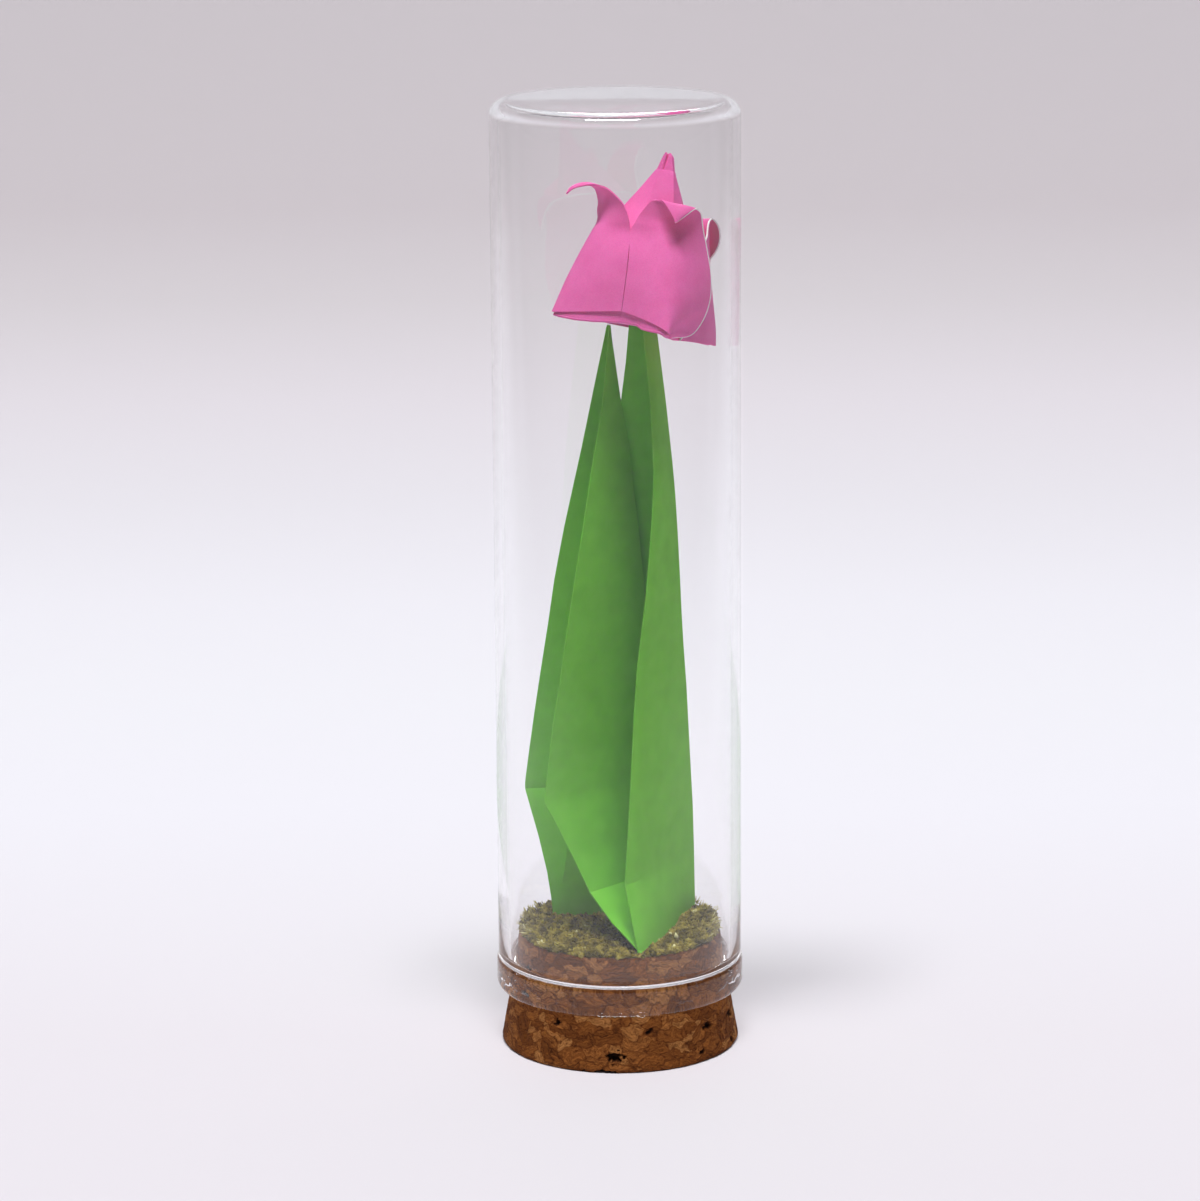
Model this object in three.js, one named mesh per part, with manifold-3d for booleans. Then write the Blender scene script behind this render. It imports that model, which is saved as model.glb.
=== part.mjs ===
// A folded-paper tulip under an upturned glass tube that stands on a tapered cork.
// Millimetres, +Z up, origin at the centre of the cork's underside, viewer on the -Y side.

import * as THREE from 'three';
import { mergeVertices } from 'three/addons/utils/BufferGeometryUtils.js';
import Module from 'manifold-3d';

const wasm = await Module();
wasm.setup();

// Glass tube, open end down
const TUBE_RADIUS = 15;
const TUBE_TOP = 116.7;
const TUBE_MOUTH = 7;
const WALL = 1.2;
const SHOULDER_RADIUS = 1.9;
const INNER_SHOULDER_RADIUS = 0.9;
const END_THICKNESS = 1.5;
const LIP_BULGE = 0.2;
const LIP_BORE = 13.65;
const LIP_TOP = TUBE_MOUTH + 4.1;
const LIP_SWELL = TUBE_MOUTH + 3.3;
const LIP_FULL = TUBE_MOUTH + 2.4;
const TUBE_SIDES = 72;

// Cork stopper, wide end down
const CORK_BASE_RADIUS = 14.65;
const CORK_SEAT_RADIUS = 13.33;
const CORK_SEAT_HEIGHT = 7.8;
const CORK_TOP_RADIUS = 12.6;
const CORK_HEIGHT = 14;
const CORK_EDGE = 0.4;
const CORK_SIDES = 72;

// Moss bed on the cork
const SEAT_GAP = 0.3;
const MOSS_RADIUS = 12.1;
const MOSS_FLOOR = CORK_HEIGHT;
const MOSS_DEPTH = 0.8;
const MOSS_EDGE = 0.4;
const MOSS_DRAFT = 0.96;
const MOSS_HUB = 0.06;
const MOSS_LUMP = 0.6;
const MOSS_RAGGED = 0.7;
const MOSS_RINGS = 9;
const MOSS_SPOKES = 44;
const MOUND_PLACE = new THREE.Vector2(9.5, 1.5);
const MOUND_HEIGHT = 1.1;
const MOUND_SPREAD = 3.5;
const FROND_COUNT = 90;
const FROND_RADIUS = 0.45;
const FROND_LENGTH = 1.4;
const FROND_EXTRA = 1.2;
const FROND_TILT = 0.3;
const FROND_TILT_EXTRA = 0.9;
const FROND_SPREAD = 1.2;
const FROND_ROOT = 0.2;
const SLOT_TOP = CORK_HEIGHT + 6;
const SLOT_MARGIN = 1;

// Folded paper
const SHEET = 0.6;
const PAPER_FOOT = CORK_HEIGHT + SEAT_GAP;

// Bloom: a square paper balloon on a leaning axis
const BLOOM_CENTRE = new THREE.Vector3(2.3, -1.7, 89.2);
const BLOOM_LEAN = new THREE.Vector3(0.172, 0.217, 1);
const BLOOM_TURN = THREE.MathUtils.degToRad(20.2);
const BLOOM_APEX = 21.6;
const VALLEY_HEIGHT = 11.1;
const VALLEY_RADIUS = 5.85;
const HOLE_RADIUS = 3.5;
const HOLE_DEPTH = 1;

const WELD_DISTANCE = 1e-4;

// A small seeded generator, so the moss is the same every time
function seededRandom(seed) {
  let state = seed;
  return () => {
    state = (state * 1664525 + 1013904223) % 4294967296;
    return state / 4294967296;
  };
}

// Solids from closed geometries, and back
function toSolid(geometry) {
  const bare = geometry.clone();
  bare.deleteAttribute('normal');
  bare.deleteAttribute('uv');
  const merged = mergeVertices(bare, WELD_DISTANCE);
  const vertProperties = new Float32Array(merged.attributes.position.array);
  const triVerts = new Uint32Array(merged.index.array);
  return new wasm.Manifold(new wasm.Mesh({ numProp: 3, vertProperties, triVerts }));
}

function toGeometry(solid) {
  const mesh = solid.getMesh();
  const geometry = new THREE.BufferGeometry();
  geometry.setAttribute('position', new THREE.BufferAttribute(new Float32Array(mesh.vertProperties), 3));
  geometry.setIndex(new THREE.BufferAttribute(new Uint32Array(mesh.triVerts), 1));
  geometry.computeVertexNormals();
  return geometry;
}

// The wall through rings of equal length, as positions and an index that still needs its ends
function wall(rings) {
  const positions = [];
  const index = [];
  const size = rings[0].length;
  for (const ring of rings) {
    for (const point of ring) positions.push(point.x, point.y, point.z);
  }
  for (let row = 0; row + 1 < rings.length; row++) {
    for (let i = 0; i < size; i++) {
      const a = row * size + i;
      const b = row * size + (i + 1) % size;
      index.push(a, b, b + size, a, b + size, a + size);
    }
  }
  return { positions, index };
}

// A closed solid through rings: the first and last rings are filled with fans
function loft(rings) {
  const { positions, index } = wall(rings);
  addFan(positions, index, rings[0], 0, true);
  addFan(positions, index, rings[rings.length - 1], (rings.length - 1) * rings[0].length, false);
  return indexed(positions, index);
}

function addFan(positions, index, ring, start, reversed) {
  const middle = new THREE.Vector3();
  for (const point of ring) middle.addScaledVector(point, 1 / ring.length);
  const hub = positions.length / 3;
  positions.push(middle.x, middle.y, middle.z);
  for (let i = 0; i < ring.length; i++) {
    const a = start + i;
    const b = start + (i + 1) % ring.length;
    if (reversed) index.push(hub, b, a);
    else index.push(hub, a, b);
  }
}

function indexed(positions, index) {
  const geometry = new THREE.BufferGeometry();
  geometry.setAttribute('position', new THREE.Float32BufferAttribute(positions, 3));
  geometry.setIndex(index);
  return geometry;
}

// A closed sheet of even thickness about a grid of points (rows of equal length)
function thickSheet(grid, thickness) {
  const rows = grid.length;
  const columns = grid[0].length;
  const positions = [];
  const index = [];
  for (const side of [0.5, -0.5]) {
    for (let r = 0; r < rows; r++) {
      for (let c = 0; c < columns; c++) {
        const point = grid[r][c].clone().addScaledVector(gridNormal(grid, r, c), side * thickness);
        positions.push(point.x, point.y, point.z);
      }
    }
  }
  const back = rows * columns;
  const at = (r, c) => r * columns + c;
  for (let r = 0; r + 1 < rows; r++) {
    for (let c = 0; c + 1 < columns; c++) {
      const [p, q, s, t] = [at(r, c), at(r, c + 1), at(r + 1, c + 1), at(r + 1, c)];
      index.push(p, q, s, p, s, t);
      index.push(back + p, back + s, back + q, back + p, back + t, back + s);
    }
  }
  const rim = [];
  for (let c = 0; c < columns; c++) rim.push(at(0, c));
  for (let r = 1; r < rows; r++) rim.push(at(r, columns - 1));
  for (let c = columns - 2; c >= 0; c--) rim.push(at(rows - 1, c));
  for (let r = rows - 2; r > 0; r--) rim.push(at(r, 0));
  for (let i = 0; i < rim.length; i++) {
    const a = rim[i];
    const b = rim[(i + 1) % rim.length];
    index.push(a, back + a, back + b, a, back + b, b);
  }
  return indexed(positions, index);
}

function gridNormal(grid, r, c) {
  const lastRow = grid.length - 1;
  const lastColumn = grid[0].length - 1;
  const across = grid[r][Math.min(c + 1, lastColumn)].clone().sub(grid[r][Math.max(c - 1, 0)]);
  const along = grid[Math.min(r + 1, lastRow)][c].clone().sub(grid[Math.max(r - 1, 0)][c]);
  return across.cross(along).normalize();
}

// Interpolate named stations, each [position, value, value, ...], by straight lines
function stationAt(stations, position) {
  let lower = stations[0];
  let upper = stations[stations.length - 1];
  for (let i = 0; i + 1 < stations.length; i++) {
    const inside = (position - stations[i][0]) * (position - stations[i + 1][0]) <= 0;
    if (inside) {
      lower = stations[i];
      upper = stations[i + 1];
      break;
    }
  }
  const share = (position - lower[0]) / (upper[0] - lower[0]);
  return lower.map((value, i) => value + (upper[i] - value) * share);
}

// Points along an arc in a profile, from one angle to another, in degrees
function arc(x, y, radius, from, to, steps) {
  const points = [];
  for (let i = 0; i <= steps; i++) {
    const angle = THREE.MathUtils.degToRad(from + (to - from) * i / steps);
    points.push(new THREE.Vector2(x + radius * Math.cos(angle), y + radius * Math.sin(angle)));
  }
  return points;
}

// Lathe profiles run about the tube's axis, which LatheGeometry puts on Y
function turned(profile, sides) {
  const geometry = new THREE.LatheGeometry(profile, sides);
  geometry.rotateX(Math.PI / 2);
  return geometry;
}

function glassTube() {
  const lipRadius = (TUBE_RADIUS + LIP_BULGE - LIP_BORE) / 2;
  const lipMiddle = LIP_BORE + lipRadius;
  const bore = TUBE_RADIUS - WALL;
  const ceiling = TUBE_TOP - END_THICKNESS;
  const outside = [
    new THREE.Vector2(0, TUBE_TOP),
    ...arc(TUBE_RADIUS - SHOULDER_RADIUS, TUBE_TOP - SHOULDER_RADIUS, SHOULDER_RADIUS, 90, 0, 5),
    new THREE.Vector2(TUBE_RADIUS, LIP_TOP),
    new THREE.Vector2(TUBE_RADIUS + LIP_BULGE * 0.6, LIP_SWELL),
    new THREE.Vector2(TUBE_RADIUS + LIP_BULGE, LIP_FULL),
  ];
  const mouth = arc(lipMiddle, TUBE_MOUTH + lipRadius, lipRadius, 0, -180, 8);
  const inside = [
    new THREE.Vector2(LIP_BORE, LIP_SWELL),
    new THREE.Vector2(bore, LIP_TOP),
    ...arc(bore - INNER_SHOULDER_RADIUS, ceiling - INNER_SHOULDER_RADIUS, INNER_SHOULDER_RADIUS, 0, 90, 4),
    new THREE.Vector2(0, ceiling),
  ];
  return turned([...outside, ...mouth, ...inside].reverse(), TUBE_SIDES);
}

function corkStopper() {
  const profile = [
    new THREE.Vector2(0, 0),
    new THREE.Vector2(CORK_BASE_RADIUS - CORK_EDGE, 0),
    new THREE.Vector2(CORK_BASE_RADIUS, CORK_EDGE),
    new THREE.Vector2(CORK_SEAT_RADIUS, CORK_SEAT_HEIGHT),
    new THREE.Vector2(CORK_TOP_RADIUS, CORK_HEIGHT - CORK_EDGE),
    new THREE.Vector2(CORK_TOP_RADIUS - CORK_EDGE, CORK_HEIGHT),
    new THREE.Vector2(0, CORK_HEIGHT),
  ];
  return turned(profile, CORK_SIDES);
}

// The green sheet, as two folded strips, each [height, spine x, spine y, front x, front y, back x, back y]
const STEM_STATIONS = [
  [PAPER_FOOT, 9.1, 7.2, 2.4, -9.0, -7.9, 3.4],
  [31, 8.7, 5.8, 1.5, -6.7, -5.3, 3.6],
  [43, 8.0, 4.7, 2.2, -5.8, -3.8, 3.3],
  [55, 7.2, 3.6, 3.5, -5.4, -2.2, 2.9],
  [68, 6.5, 2.4, 4.4, -4.5, -0.4, 2.2],
  [80, 5.4, 0.9, 4.0, -3.7, 0.7, 1.0],
  [90, 4.4, -0.4, 3.2, -3.0, 1.7, 0.0],
  [94, 4.0, -0.7, 3.1, -2.5, 2.1, -0.3],
];
const LEAF_STATIONS = [
  [PAPER_FOOT, 8.25, 6.5, 1.95, -8.8, -7.8, 2.9],
  [15.4, 8.2, 6.45, 1.8, -8.7, -7.85, 2.9],
  [20.7, 6.0, 5.2, -3.3, -5.2, -8.9, 3.3],
  [31.5, 4.8, 4.3, -9.0, -4.9, -11.7, 3.7],
  [46, 4.0, 3.2, -6.9, -5.1, -9.6, 3.0],
  [58, 3.2, 2.1, -5.2, -4.8, -7.8, 2.2],
  [74, 1.7, 0.8, -2.7, -3.2, -4.3, 0.9],
  [84, 0.1, 0.0, -1.2, -1.6, -2.1, 0.1],
  [89, -0.6, -0.4, -0.8, -1.1, -1.3, -0.3],
];

// The three corners of a strip's V at a height: front edge, spine, back edge
function stripCorners(stations, height) {
  const [z, spineX, spineY, frontX, frontY, backX, backY] = stationAt(stations, height);
  return [
    new THREE.Vector3(frontX, frontY, z),
    new THREE.Vector3(spineX, spineY, z),
    new THREE.Vector3(backX, backY, z),
  ];
}

// The outline of a V-shaped section of even thickness in a level plane
function vSection(corners, thickness) {
  const [front, spine, back] = corners;
  const offset = (from, to) => {
    const run = to.clone().sub(from).normalize();
    return new THREE.Vector3(run.y, -run.x, 0).multiplyScalar(thickness / 2);
  };
  const first = offset(front, spine);
  const second = offset(spine, back);
  const mitre = first.clone().add(second);
  mitre.multiplyScalar((thickness * thickness / 2) / mitre.lengthSq());
  return [
    front.clone().add(first),
    spine.clone().add(mitre),
    back.clone().add(second),
    back.clone().sub(second),
    spine.clone().sub(mitre),
    front.clone().sub(first),
  ];
}

function foldedStrip(stations, thickness, foot, top) {
  const heights = [foot, ...stations.map((station) => station[0]).filter((z) => z > foot && z < top), top];
  return toSolid(loftV(heights.map((z) => vSection(stripCorners(stations, z), thickness))));
}

// A loft of V sections, its ends closed by quads so that no fan crosses the V
function loftV(rings) {
  const { positions, index } = wall(rings);
  const top = (rings.length - 1) * rings[0].length;
  for (const [a, b, c, d] of [[0, 1, 4, 5], [1, 2, 3, 4]]) {
    index.push(a, c, b, a, d, c);
    index.push(top + a, top + b, top + c, top + a, top + c, top + d);
  }
  return indexed(positions, index);
}

function stemAndLeaf() {
  const stemTop = STEM_STATIONS[STEM_STATIONS.length - 1][0];
  const leafTop = LEAF_STATIONS[LEAF_STATIONS.length - 1][0];
  const stem = foldedStrip(STEM_STATIONS, SHEET, PAPER_FOOT, stemTop);
  const leaf = foldedStrip(LEAF_STATIONS, SHEET, PAPER_FOOT, leafTop);
  return stem.add(leaf);
}

// The bloom's own frame: corners L, F, R and B lie a quarter turn apart about its axis
function bloomFrame() {
  const up = BLOOM_LEAN.clone().normalize();
  const level = new THREE.Vector3(Math.cos(BLOOM_TURN), Math.sin(BLOOM_TURN), 0);
  const right = level.addScaledVector(up, -level.dot(up)).normalize();
  const far = up.clone().cross(right);
  return { up, right, far };
}

const FRAME = bloomFrame();

// A point at a turn about the bloom's axis (0 is the right corner), a radius and a height
function bloomPoint(turn, radius, height) {
  return BLOOM_CENTRE.clone()
    .addScaledVector(FRAME.right, radius * Math.cos(turn))
    .addScaledVector(FRAME.far, radius * Math.sin(turn))
    .addScaledVector(FRAME.up, height);
}

// Stations of the balloon, each [row, corner radius, corner height, face radius, face height, sway].
// Above the valleys it closes to the inner point, which sways to the right.
const BALLOON_STATIONS = [
  [0, HOLE_RADIUS, 0.3, HOLE_RADIUS, 0.3, 0],
  [1, 6.5, 0.1, 5.0, 0.4, 0],
  [2, 10.5, 0.2, 7.5, 1.7, 0],
  [3, 9.6, 4.2, 8.3, 5.2, 0],
  [4, 8.4, 7.8, 7.5, 8.3, 0],
  [5, 7.4, 10.8, VALLEY_RADIUS, VALLEY_HEIGHT, 0],
  [6, 5.0, 12.9, 3.9, 13.2, 0.2],
  [7, 3.2, 15.8, 2.3, 15.8, 0.5],
  [8, 1.2, 19.2, 0.9, 19.2, 0.7],
  [9, 0.5, BLOOM_APEX, 0.4, BLOOM_APEX, 0.8],
];
const BALLOON_SIDES = 40;
const APEX_ROW = 9;
const FLOOR_ROW = 2;
const HOLLOW_TOP_ROW = 7.5;
const ROW_STEP = 0.5;

// How near a turn is to a corner ridge: 1 on the ridge, 0 at the middle of a face, as on a square
function cornerShare(turn) {
  const quarter = Math.PI / 2;
  const fromCorner = Math.abs(((turn + quarter / 2) % quarter) - quarter / 2);
  return (1 / Math.cos(quarter / 2 - fromCorner) - 1) / (Math.SQRT2 - 1);
}

// One ring of the balloon, or of its hollow when it is set in from the skin and lifted off its floor
function balloonRing(row, inset, lift) {
  const [, cornerRadius, cornerHeight, faceRadius, faceHeight, sway] = stationAt(BALLOON_STATIONS, row);
  const ring = [];
  for (let i = 0; i < BALLOON_SIDES; i++) {
    const turn = i * 2 * Math.PI / BALLOON_SIDES;
    const share = cornerShare(turn);
    const cornerInset = inset * (1 + (Math.SQRT2 - 1) * share);
    const radius = faceRadius + (cornerRadius - faceRadius) * share - cornerInset;
    const height = faceHeight + (cornerHeight - faceHeight) * share + lift;
    ring.push(bloomPoint(turn, radius, height).addScaledVector(FRAME.right, sway));
  }
  return ring;
}

function levelRing(radius, height) {
  const ring = [];
  for (let i = 0; i < BALLOON_SIDES; i++) {
    ring.push(bloomPoint(i * 2 * Math.PI / BALLOON_SIDES, radius, height));
  }
  return ring;
}

// The paper balloon: outer skin, less the hollow that opens at the stem hole
function balloon() {
  const outer = [];
  for (let row = 0; row <= APEX_ROW; row += ROW_STEP) outer.push(balloonRing(row, 0, 0));
  const hollow = [levelRing(HOLE_RADIUS, -HOLE_DEPTH), levelRing(HOLE_RADIUS, HOLE_DEPTH)];
  for (let row = FLOOR_ROW; row <= HOLLOW_TOP_ROW; row += ROW_STEP) {
    hollow.push(balloonRing(row, SHEET, row < FLOOR_ROW + 1 ? SHEET : 0));
  }
  return toSolid(loft(outer)).subtract(toSolid(loft(hollow)));
}

// A petal peeled from a corner: each row runs from edge to edge over a raised middle line.
// Stations: [row, middle radius, middle height, edge radius, edge half width, edge height, tip drift]
const PETAL_ROOT = [
  [0, 7.3, 8.9, 4.2, 4.2, 9.2, 0],
  [1, 7.1, 11.4, 4.0, 4.0, 10.9, 0],
  [2, 6.8, 13.2, 4.5, 3.8, 12.6, 0],
];
const SIDE_CURL = [
  [3, 6.7, 14.5, 5.1, 3.5, 13.9, 0],
  [4, 7.3, 15.5, 6.1, 3.0, 15.1, 0],
  [5, 8.7, 16.0, 8.2, 1.9, 15.8, 0],
  [6, 10.0, 15.7, 10.0, 1.0, 15.6, 0],
  [7, 10.9, 14.7, 10.9, 0.35, 14.7, 0],
];
const FRONT_CURL = [
  [3, 6.9, 14.2, 5.1, 3.1, 14.0, 0],
  [4, 7.2, 14.9, 6.0, 2.5, 14.8, 0],
  [5, 7.9, 15.0, 7.2, 1.8, 14.9, -0.1],
  [6, 8.6, 14.2, 8.4, 1.0, 14.0, -0.3],
  [7, 8.9, 13.0, 8.9, 0.35, 13.0, -0.5],
];
const TIGHT_CURL = [
  [3, 6.7, 13.9, 5.3, 3.1, 13.6, 0],
  [4, 7.2, 14.4, 6.3, 2.5, 14.2, 0],
  [5, 7.9, 13.9, 7.6, 1.8, 13.7, -0.3],
  [6, 8.3, 12.5, 8.2, 1.1, 12.4, -0.8],
  [7, 8.3, 10.4, 8.3, 0.35, 10.4, -1.2],
];
const PETAL_ROWS = 14;
const PETAL_COLUMNS = 6;

function petal(turn, curl) {
  const stations = [...PETAL_ROOT, ...curl];
  const grid = [];
  for (let r = 0; r <= PETAL_ROWS; r++) {
    const row = r * (stations.length - 1) / PETAL_ROWS;
    const [, midRadius, midHeight, edgeRadius, halfWidth, edgeHeight, drift] = stationAt(stations, row);
    const line = [];
    for (let c = 0; c <= PETAL_COLUMNS; c++) {
      const side = 2 * c / PETAL_COLUMNS - 1;
      const crown = 1 - side * side;
      const outward = edgeRadius + (midRadius - edgeRadius) * crown;
      const across = halfWidth * side + drift;
      const height = edgeHeight + (midHeight - edgeHeight) * crown;
      line.push(bloomPoint(turn + Math.atan2(across, outward), Math.hypot(outward, across), height));
    }
    grid.push(line);
  }
  return toSolid(thickSheet(grid, SHEET));
}

function bloom() {
  const quarter = Math.PI / 2;
  const petals = [
    petal(0, TIGHT_CURL),
    petal(quarter, TIGHT_CURL),
    petal(2 * quarter, SIDE_CURL),
    petal(3 * quarter, FRONT_CURL),
  ];
  let solid = balloon();
  for (const each of petals) solid = solid.add(each);
  return solid;
}

// The moss: a lumpy pad, higher at the right, with short fronds that lean out of it
function mossHeight(x, y) {
  const distance = Math.hypot(x - MOUND_PLACE.x, y - MOUND_PLACE.y) / MOUND_SPREAD;
  return MOSS_FLOOR + MOSS_DEPTH + MOUND_HEIGHT * Math.exp(-distance * distance);
}

function mossPad(random) {
  const outline = [];
  for (let i = 0; i < MOSS_SPOKES; i++) outline.push(MOSS_RADIUS + MOSS_RAGGED * (random() - 0.5));
  const ringAt = (scale, heightAt) => outline.map((radius, i) => {
    const turn = i * 2 * Math.PI / MOSS_SPOKES;
    const x = radius * scale * Math.cos(turn);
    const y = radius * scale * Math.sin(turn);
    return new THREE.Vector3(x, y, heightAt(x, y));
  });
  const rings = [ringAt(MOSS_DRAFT, () => MOSS_FLOOR), ringAt(1, () => MOSS_FLOOR + MOSS_EDGE)];
  for (let i = 0; i < MOSS_RINGS; i++) {
    const scale = MOSS_HUB + (MOSS_DRAFT - MOSS_HUB) * (1 - i / MOSS_RINGS);
    rings.push(ringAt(scale, (x, y) => mossHeight(x, y) + MOSS_LUMP * random()));
  }
  return toSolid(loft(rings));
}

// A three-sided frond with its root sunk in the pad
function frond(random) {
  const length = FROND_LENGTH + FROND_EXTRA * random();
  const turn = 2 * Math.PI * random();
  const radius = MOSS_RADIUS * THREE.MathUtils.lerp(0.3, 0.95, Math.sqrt(random()));
  const x = radius * Math.cos(turn);
  const y = radius * Math.sin(turn);
  const geometry = new THREE.ConeGeometry(FROND_RADIUS, length, 3);
  geometry.translate(0, length / 2, 0);
  geometry.rotateX(Math.PI / 2);
  geometry.rotateY(FROND_TILT + FROND_TILT_EXTRA * random());
  geometry.rotateZ(turn + FROND_SPREAD * (random() - 0.5));
  geometry.translate(x, y, mossHeight(x, y) - FROND_ROOT);
  return toSolid(geometry);
}

// The paper stands in a plain slot in the moss, and no frond crosses that slot
function mossBed() {
  const random = seededRandom(7);
  const slot = paperSlot(STEM_STATIONS).add(paperSlot(LEAF_STATIONS));
  let solid = mossPad(random).subtract(slot);
  for (let i = 0; i < FROND_COUNT; i++) {
    const each = frond(random);
    if (each.intersect(slot).isEmpty()) solid = solid.add(each);
  }
  return solid;
}

// The room about a strip's foot: its own shape, and its foot line carried straight up and down
function paperSlot(stations) {
  const thickness = SHEET + 2 * SEAT_GAP;
  const corners = stripCorners(stations, PAPER_FOOT);
  const levels = [CORK_HEIGHT - SLOT_MARGIN, SLOT_TOP];
  const outlines = levels.map((z) => corners.map((corner) => new THREE.Vector3(corner.x, corner.y, z)));
  const straight = toSolid(loftV(outlines.map((outline) => vSection(outline, thickness))));
  return straight.add(foldedStrip(stations, thickness, PAPER_FOOT, SLOT_TOP));
}

function named(name, geometry, color, roughness, extra = {}) {
  const material = new THREE.MeshStandardMaterial({ color, roughness, metalness: 0, ...extra });
  const mesh = new THREE.Mesh(geometry, material);
  mesh.name = name;
  return mesh;
}

const group = new THREE.Group();
group.add(named('cork_base', corkStopper(), 0x8a5a32, 0.9));
group.add(named('moss_bed', toGeometry(mossBed()), 0x6f7434, 1));
group.add(named('paper_stem_leaf', toGeometry(stemAndLeaf()), 0x4f9a33, 0.75));
group.add(named('paper_bloom', toGeometry(bloom()), 0xd9659f, 0.75));
group.add(named('glass_tube', glassTube(), 0xf2f6f7, 0.03, { transparent: true, opacity: 0.25 }));

export default group;
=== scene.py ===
# A folded-paper tulip under an upturned glass tube on a cork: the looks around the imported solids.
# Shapes are written in millimetres and scaled to metres when their meshes are made.

import math
import random

import bpy
import numpy as np
from mathutils import Matrix, Vector, noise


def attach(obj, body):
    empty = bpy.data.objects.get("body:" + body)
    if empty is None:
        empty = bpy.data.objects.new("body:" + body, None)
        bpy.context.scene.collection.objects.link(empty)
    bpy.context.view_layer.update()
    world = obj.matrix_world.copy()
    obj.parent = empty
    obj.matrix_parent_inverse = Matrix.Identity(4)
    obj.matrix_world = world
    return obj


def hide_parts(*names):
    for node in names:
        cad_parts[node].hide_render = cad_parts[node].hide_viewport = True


MM = 0.001
TINY = 1e-9

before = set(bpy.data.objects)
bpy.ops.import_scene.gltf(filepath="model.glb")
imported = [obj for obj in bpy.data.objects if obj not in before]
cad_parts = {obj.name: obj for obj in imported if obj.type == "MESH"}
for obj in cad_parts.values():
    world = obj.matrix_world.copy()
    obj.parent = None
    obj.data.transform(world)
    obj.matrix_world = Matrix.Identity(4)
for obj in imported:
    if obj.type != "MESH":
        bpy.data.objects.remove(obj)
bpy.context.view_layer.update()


# Meshes

def build_mesh(name, points, faces, materials, slots=None, flat=(), crease_deg=None):
    mesh = bpy.data.meshes.new(name)
    mesh.from_pydata((np.asarray(points, float) * MM).tolist(), [], faces)
    mesh.polygons.foreach_set("use_smooth", [True] * len(faces))
    for index in flat:
        mesh.polygons[index].use_smooth = False
    for material in materials:
        mesh.materials.append(material)
    if slots is not None:
        mesh.polygons.foreach_set("material_index", slots)
    if crease_deg is not None:
        mesh.set_sharp_from_angle(angle=math.radians(crease_deg))
    mesh.update()
    piece = bpy.data.objects.new(name, mesh)
    bpy.context.scene.collection.objects.link(piece)
    return piece


def add_values(piece, name, values):
    """A number at each point of the mesh, which its material reads."""
    attribute = piece.data.attributes.new(name, "FLOAT", "POINT")
    attribute.data.foreach_set("value", np.array(values, np.float32))


def hermite(stations, position):
    """A smooth curve through evenly numbered stations, each an array."""
    last = len(stations) - 1
    position = min(max(position, 0.0), float(last))
    i = min(int(position), last - 1)
    t = position - i
    p1, p2 = stations[i], stations[i + 1]
    m1 = (p2 - stations[i - 1]) / 2 if i > 0 else p2 - p1
    m2 = (stations[i + 2] - p1) / 2 if i + 2 <= last else p2 - p1
    return (
        (2 * t ** 3 - 3 * t ** 2 + 1) * p1
        + (t ** 3 - 2 * t ** 2 + t) * m1
        + (3 * t ** 2 - 2 * t ** 3) * p2
        + (t ** 3 - t ** 2) * m2
    )


def straight(stations, position):
    """Straight lines through evenly numbered stations, each an array."""
    last = len(stations) - 1
    position = min(max(position, 0.0), float(last))
    i = min(int(position), last - 1)
    return stations[i] + (stations[i + 1] - stations[i]) * (position - i)


def unit(vector):
    return vector / np.linalg.norm(vector)


def grid_normals(grid):
    along = np.gradient(grid, axis=0)
    across = np.gradient(grid, axis=1)
    normal = np.cross(across, along)
    length = np.linalg.norm(normal, axis=2, keepdims=True)
    return normal / np.maximum(length, TINY)


def paper_sheet(name, grid, thickness, materials, raw=(), crease_deg=None, band=False):
    """A closed sheet about a grid of points. raw names the cut edges that show the paper's core, and with
    band they show it also on the column of faces beside them."""
    rows, columns, _ = grid.shape
    normal = grid_normals(grid)
    points = np.concatenate([
        (grid + normal * thickness / 2).reshape(-1, 3),
        (grid - normal * thickness / 2).reshape(-1, 3),
    ])
    back = rows * columns
    faces, slots, flat = [], [], []
    for r in range(rows - 1):
        for c in range(columns - 1):
            a = r * columns + c
            b, d, e = a + 1, a + columns, a + columns + 1
            faces.append((a, b, e, d))
            faces.append((back + a, back + d, back + e, back + b))
            cut = band and (c == 0 and "left" in raw or c == columns - 2 and "right" in raw)
            slots += [int(cut)] * 2
    edges = {
        "first": [(c, c + 1) for c in range(columns - 1)],
        "right": [(r * columns + columns - 1, (r + 1) * columns + columns - 1) for r in range(rows - 1)],
        "last": [((rows - 1) * columns + c + 1, (rows - 1) * columns + c) for c in range(columns - 1)],
        "left": [((r + 1) * columns, r * columns) for r in range(rows - 1)],
    }
    for side, pairs in edges.items():
        for a, b in pairs:
            flat.append(len(faces))
            faces.append((a, back + a, back + b, b))
            slots.append(int(side in raw))
    return build_mesh(name, points, faces, materials, slots, flat, crease_deg)


def lathe(name, profile, sides, materials):
    """A profile of (radius, height) turned about Z. Its ends may lie on the axis."""
    points, rings = [], []
    for radius, height in profile:
        if radius < TINY:
            rings.append([len(points)] * sides)
            points.append((0, 0, height))
            continue
        rings.append(list(range(len(points), len(points) + sides)))
        for i in range(sides):
            angle = 2 * math.pi * i / sides
            points.append((radius * math.cos(angle), radius * math.sin(angle), height))
    faces = []
    for low, high in zip(rings, rings[1:]):
        for i in range(sides):
            j = (i + 1) % sides
            corners = [low[i], low[j], high[j], high[i]]
            corners = [c for n, c in enumerate(corners) if c not in corners[:n]]
            if len(corners) > 2:
                faces.append(tuple(corners))
    return build_mesh(name, points, faces, materials)


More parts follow.
